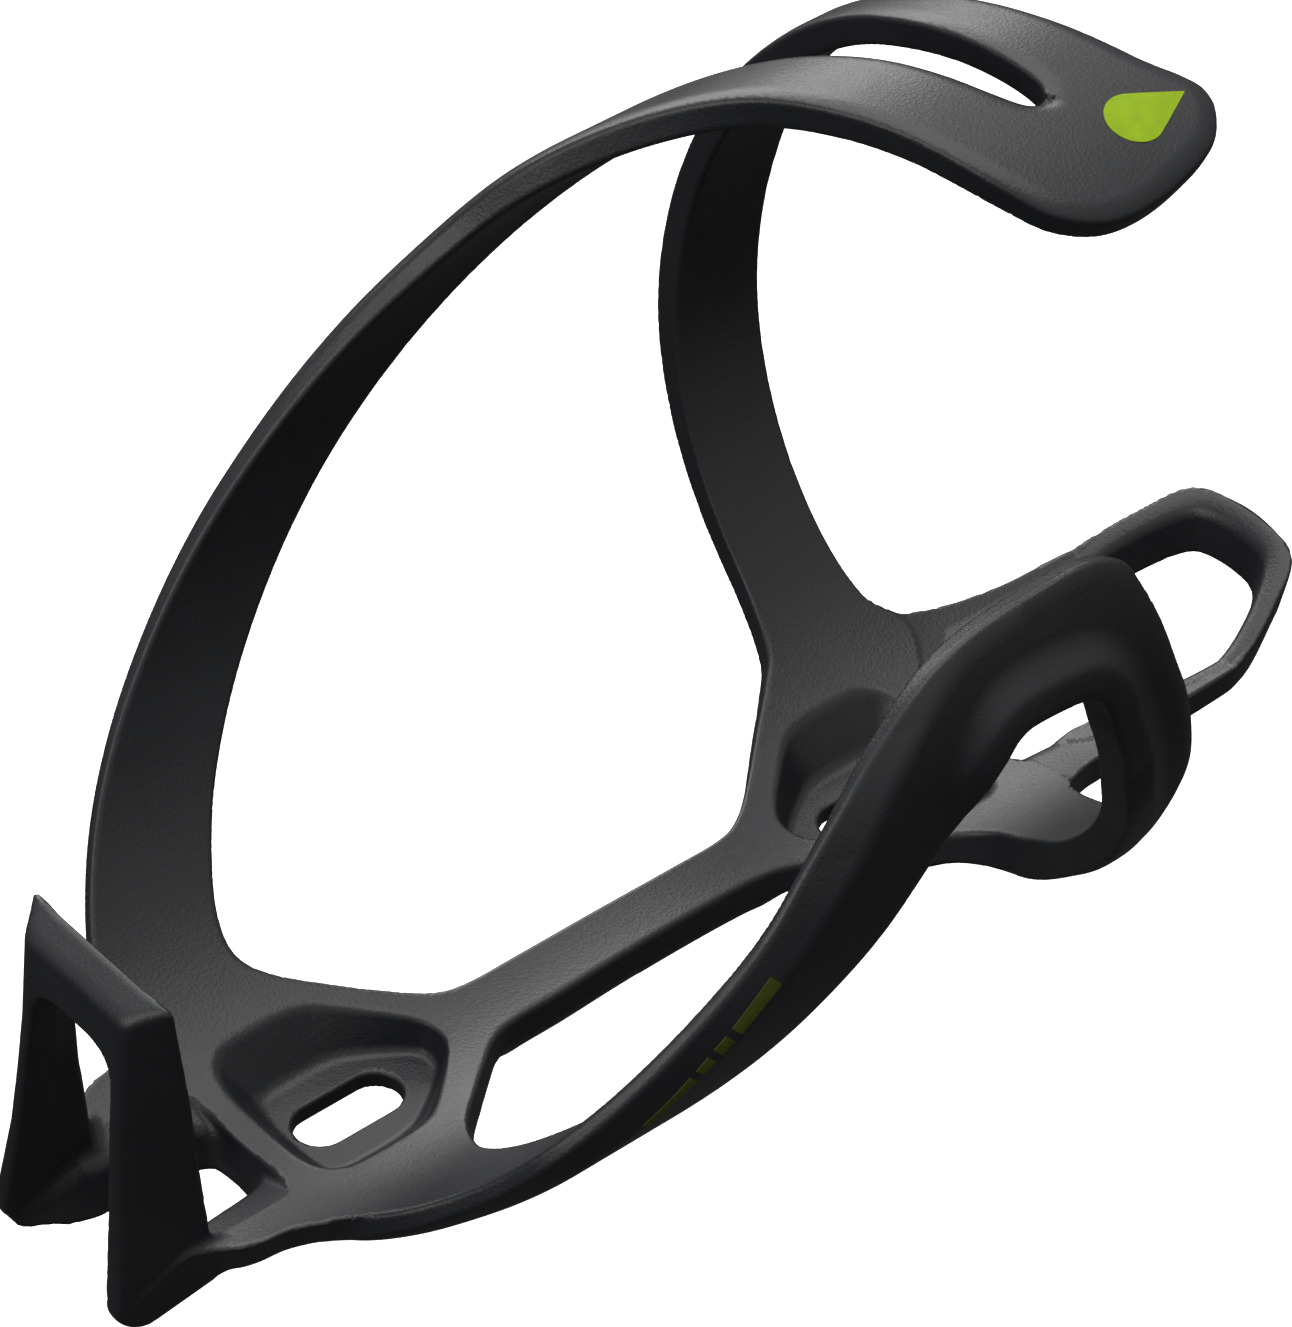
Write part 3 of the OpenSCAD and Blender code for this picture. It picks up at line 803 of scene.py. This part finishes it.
def printed(rows):
    """A thin closed patch on the skin. Each row is a list of [x, angle] from one edge to the other."""
    bm = bmesh.new()
    top, bottom = ([[bm.verts.new(on_skin(x, angle, height)) for x, angle in row] for row in rows]
                   for height in (INK_TOP, INK_BOTTOM))
    last_i, last_j = len(rows) - 1, len(rows[0]) - 1
    for i in range(last_i):
        for j in range(last_j):
            for layer in (top, bottom):
                bm.faces.new([layer[i][j], layer[i + 1][j], layer[i + 1][j + 1], layer[i][j + 1]])
    for j in range(last_j):
        for i in (0, last_i):
            bm.faces.new([top[i][j], top[i][j + 1], bottom[i][j + 1], bottom[i][j]])
    for i in range(last_i):
        for j in (0, last_j):
            bm.faces.new([top[i][j], top[i + 1][j], bottom[i + 1][j], bottom[i][j]])
    bmesh.ops.recalc_face_normals(bm, faces=bm.faces[:])
    bmesh.ops.scale(bm, vec=(MM, MM, MM), verts=bm.verts[:])
    return bm


def add_mark(name, patches, material, node):
    """A printed mark made of one or more patches."""
    mesh = bpy.data.meshes.new(name)
    whole = bmesh.new()
    for rows in patches:
        part = printed(rows)
        part.to_mesh(mesh)
        part.free()
        whole.from_mesh(mesh)
    whole.to_mesh(mesh)
    whole.free()
    piece = bpy.data.objects.new(name, mesh)
    bpy.context.scene.collection.objects.link(piece)
    mesh.materials.append(material)
    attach(piece, "root")
    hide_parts(node)


DROP_X, DROP_ANGLE, DROP_R, DROP_L = 50.0, 197.0, 2.8, 6.2


def drop_rows():
    """A water drop with its tip towards the bottle's mouth."""
    turn = math.acos(DROP_R / DROP_L)
    join = DROP_R * math.cos(turn)
    stations = [DROP_R * math.cos(math.radians(a)) for a in range(176, 64, -8)]
    stations += [join + 1, join + 2.5, join + 4, DROP_L - 0.1]
    rows = []
    for along in stations:
        if along < join:
            half = math.sqrt(max(DROP_R**2 - along**2, 0.01))
        else:
            half = DROP_R * math.sin(turn) * (DROP_L - along) / (DROP_L - join)
        half = math.degrees(half / (BOTTLE_R + SKIN_T))
        rows.append([(DROP_X + along, DROP_ANGLE + half * t) for t in (-1, -0.5, 0, 0.5, 1)])
    return rows


add_mark("tongue_mark_print", [drop_rows()], lime, "tongue_mark")

STRAP_LINE = [(-26.6, -62.4), (-23.6, -68.2), (-21.0, -72.6), (-18.2, -77.0), (-15.2, -81.6)]
# Where each dash starts and ends, in points of the line
DASHES = [(0.0, 1.3), (1.5, 1.9), (2.1, 2.5), (2.7, 4.0)]
DASH_HALF = 0.55


def strap_rows(start, end):
    """A dash along the strap's line."""
    rows = []
    for t in np.linspace(start, end, max(3, int((end - start) * 5))):
        i = min(int(t), len(STRAP_LINE) - 2)
        (x0, a0), (x1, a1) = STRAP_LINE[i], STRAP_LINE[i + 1]
        x, a = x0 + (x1 - x0) * (t - i), a0 + (a1 - a0) * (t - i)
        dx, ds = x1 - x0, (a1 - a0) * ARC
        size = math.hypot(dx, ds)
        nx, ns = -ds / size, dx / size
        rows.append([(x + nx * DASH_HALF * k, a + ns * DASH_HALF * k / ARC) for k in (-1, 0, 1)])
    return rows


add_mark("strap_mark_print", [strap_rows(*dash) for dash in DASHES], olive, "strap_mark")

# ---------------------------------------------------------------- camera, floor and light
camera = bpy.data.objects.new("camera", bpy.data.cameras.new("camera"))
camera.data.lens = 161.65
camera.location = (-0.2598, -0.3144, 0.3890)
camera.rotation_mode = "QUATERNION"
camera.rotation_quaternion = Vector((0.4869, 0.5810, -0.6522)).to_track_quat("-Z", "Y")
bpy.context.scene.collection.objects.link(camera)
bpy.context.scene.camera = camera

FLOOR_Z = -0.03
floor_mesh = bpy.data.meshes.new("floor")
floor_mesh.from_pydata([(-4, -4, 0), (4, -4, 0), (4, 4, 0), (-4, 4, 0)], [], [(0, 1, 2, 3)])
floor = bpy.data.objects.new("floor", floor_mesh)
floor.location.z = FLOOR_Z
paper = principled("pale_floor", Base_Color=(0.9, 0.9, 0.9, 1), Roughness=0.9,
                   Emission_Color=(1, 1, 1, 1), Emission_Strength=0.75)[0]
floor_mesh.materials.append(paper)
floor.visible_glossy = False
floor.visible_diffuse = False
bpy.context.scene.collection.objects.link(floor)


def softbox(name, place, target, size, power):
    light = bpy.data.lights.new(name, "AREA")
    light.shape = "RECTANGLE"
    light.size, light.size_y = size
    light.energy = power
    lamp = bpy.data.objects.new(name, light)
    lamp.location = place
    lamp.rotation_mode = "QUATERNION"
    lamp.rotation_quaternion = (Vector(target) - Vector(place)).to_track_quat("-Z", "Y")
    bpy.context.scene.collection.objects.link(lamp)


softbox("top_light", (0.1, 0.25, 0.9), (0, 0, 0.04), (0.9, 0.9), 5)
softbox("back_light", (0.35, 0.9, 0.45), (0, 0, 0.05), (0.8, 0.5), 5)
softbox("left_light", (-0.9, 0.1, 0.5), (0, 0, 0.05), (0.5, 0.7), 2.5)


def studio_world():
    """A studio that is bright overhead and dark below."""
    world = bpy.data.worlds.new("studio")
    world.use_nodes = True
    tree = world.node_tree
    direction = tree.nodes.new("ShaderNodeTexCoord").outputs["Generated"]
    axes = tree.nodes.new("ShaderNodeSeparateXYZ")
    tree.links.new(direction, axes.inputs["Vector"])
    shade = tree.nodes.new("ShaderNodeMapRange")
    shade.interpolation_type = "SMOOTHSTEP"
    for name, value in (("From Min", -0.5), ("From Max", 0.9), ("To Min", 0.05), ("To Max", 0.62)):
        shade.inputs[name].default_value = value
    tree.links.new(axes.outputs["Z"], shade.inputs["Value"])
    tree.links.new(shade.outputs["Result"], tree.nodes["Background"].inputs["Strength"])
    tree.nodes["Background"].inputs["Color"].default_value = (1, 1, 1, 1)
    bpy.context.scene.world = world


studio_world()
bpy.context.scene.view_settings.view_transform = "Standard"
